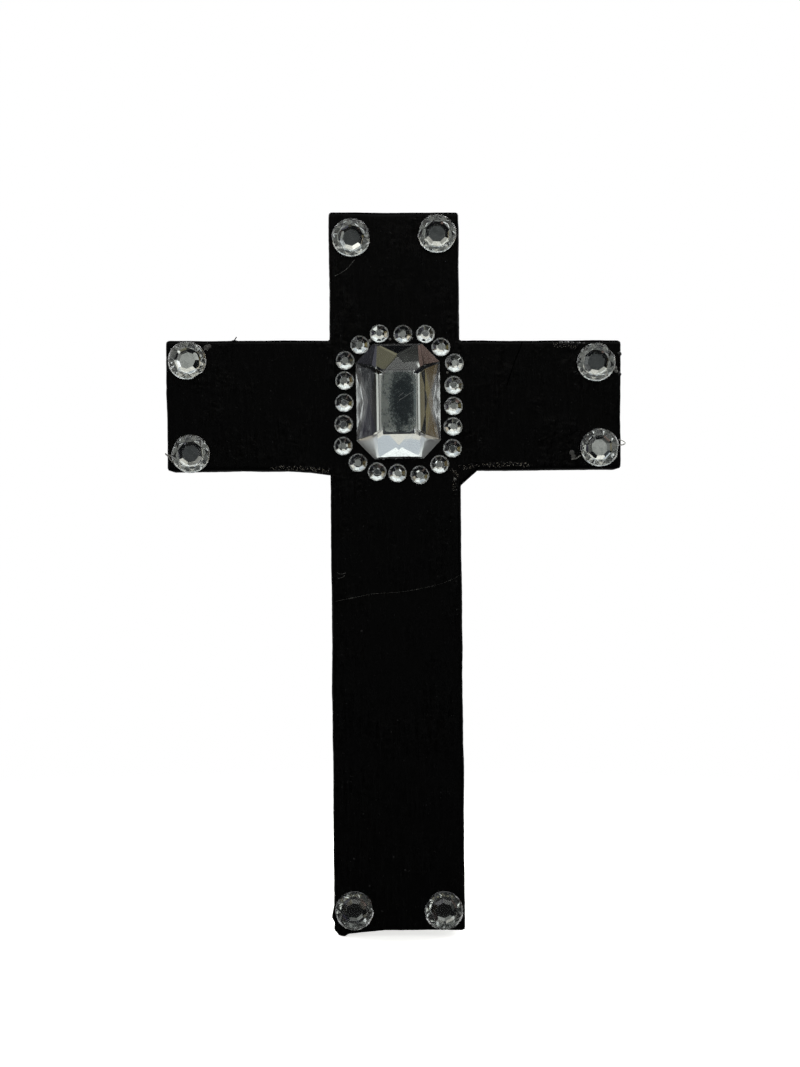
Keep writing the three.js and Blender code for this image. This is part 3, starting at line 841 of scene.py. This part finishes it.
# Small bright spots that the flanges and ring stones catch, clear of what the tables look at
glints = {"light": 1.8, "half": 0.95, "soft": 0.8, "places": [
    (8.5, -3), (-8.5, -3), (9.5, 9), (-9.5, 9), (5.5, 11), (-5.5, 11), (12, 0.5), (-12, 0.5),
    (5.5, -5), (-5.5, -5.5), (16.5, 8), (-16.5, 8), (10, -17)]}
for place in glints["places"]:
    across, up = ((angle - glints["half"], angle + glints["half"]) for angle in place)
    roomAreas.append({
        "colour": "#ffffff", "light": glints["light"], "azimuth": across, "elevation": up,
        "soft": glints["soft"]})

# The window stands close by: its panes lie one above the other in a plane this far in front of the face, in m.
# Angles are seen from the crossing.
windowDistance = 0.9
windowPanes = [
    {"colour": "#fffaf0", "light": 1.0, "azimuth": (-30, 30), "elevation": (16, 24.4)},
    {"colour": "#eef4fb", "light": 0.85, "azimuth": (-34, 34), "elevation": (24.4, 30.5)},
    {"colour": "#fdfffd", "light": 1.5, "azimuth": (-48, 44), "elevation": (30.5, 46)},
]


def makeWindow():
    for i, pane in enumerate(windowPanes):
        left, right = (windowDistance * math.tan(math.radians(edge)) for edge in pane["azimuth"])
        low, high = (windowDistance * math.tan(math.radians(edge)) for edge in pane["elevation"])
        light = bpy.data.lights.new(f"windowPane{i + 1}", "AREA")
        light.shape = "RECTANGLE"
        light.size = right - left
        light.size_y = high - low
        light.color = linear(pane["colour"])[:3]
        light.energy = pane["light"] * light.size * light.size_y * math.pi
        place = newPiece(light.name, light)
        place.location = ((left + right) / 2, boardFace - windowDistance, (low + high) / 2)
        place.rotation_euler = (math.pi / 2, 0, 0)


def makeRoom():
    world = bpy.data.worlds.new("room")
    world.use_nodes = True
    scene.world = world
    tree = world.node_tree
    tree.nodes.clear()
    direction = addNode(tree, "ShaderNodeTexCoord").outputs["Generated"]
    x, y, z = addNode(tree, "ShaderNodeSeparateXYZ", {0: direction}).outputs
    ahead = addNode(tree, "ShaderNodeMath", {0: y, 1: -1}, operation="MULTIPLY").outputs[0]
    azimuth = addNode(tree, "ShaderNodeMath", {0: x, 1: ahead}, operation="ARCTAN2").outputs[0]
    elevation = addNode(tree, "ShaderNodeMath", {0: z}, operation="ARCSINE").outputs[0]

    def within(angle, span, soft):
        low, high = (math.radians(edge) for edge in span)
        half = math.radians(soft) / 2
        rise = addNode(tree, "ShaderNodeMapRange", {
            "Value": angle, "From Min": low - half, "From Max": low + half}, interpolation_type="SMOOTHSTEP")
        fall = addNode(tree, "ShaderNodeMapRange", {
            "Value": angle, "From Min": high + half, "From Max": high - half}, interpolation_type="SMOOTHSTEP")
        both = {0: rise.outputs[0], 1: fall.outputs[0]}
        return addNode(tree, "ShaderNodeMath", both, operation="MULTIPLY").outputs[0]

    light = [room["around"]] * 3 + [1]
    for area in roomAreas:
        across = within(azimuth, area["azimuth"], area["soft"])
        up = within(elevation, area["elevation"], area["soft"])
        share = addNode(tree, "ShaderNodeMath", {0: across, 1: up}, operation="MULTIPLY")
        glow = [c * area["light"] for c in linear(area["colour"])[:3]] + [1]
        laid = addNode(tree, "ShaderNodeMix", {0: share.outputs[0], 6: light, 7: glow}, data_type="RGBA")
        light = laid.outputs[2]

    noise = addNode(tree, "ShaderNodeTexNoise", {"Vector": direction, "Scale": room["mottleScale"]})
    mottle = addNode(tree, "ShaderNodeMapRange", {
        "Value": noise.outputs[0], "From Min": 0.3, "From Max": 0.7,
        "To Min": 1 - room["mottle"], "To Max": 1 + room["mottle"]})
    shown = addNode(tree, "ShaderNodeBackground", {"Color": light, "Strength": mottle.outputs[0]})
    white = addNode(tree, "ShaderNodeBackground", {"Color": linear(room["backdrop"])})
    seen = addNode(tree, "ShaderNodeLightPath").outputs["Is Camera Ray"]
    both = addNode(tree, "ShaderNodeMixShader", {0: seen, 1: shown.outputs[0], 2: white.outputs[0]})
    addNode(tree, "ShaderNodeOutputWorld", {"Surface": both.outputs[0]})


makeRoom()
makeWindow()
scene.view_settings.view_transform = "Standard"
print("stage and camera set")
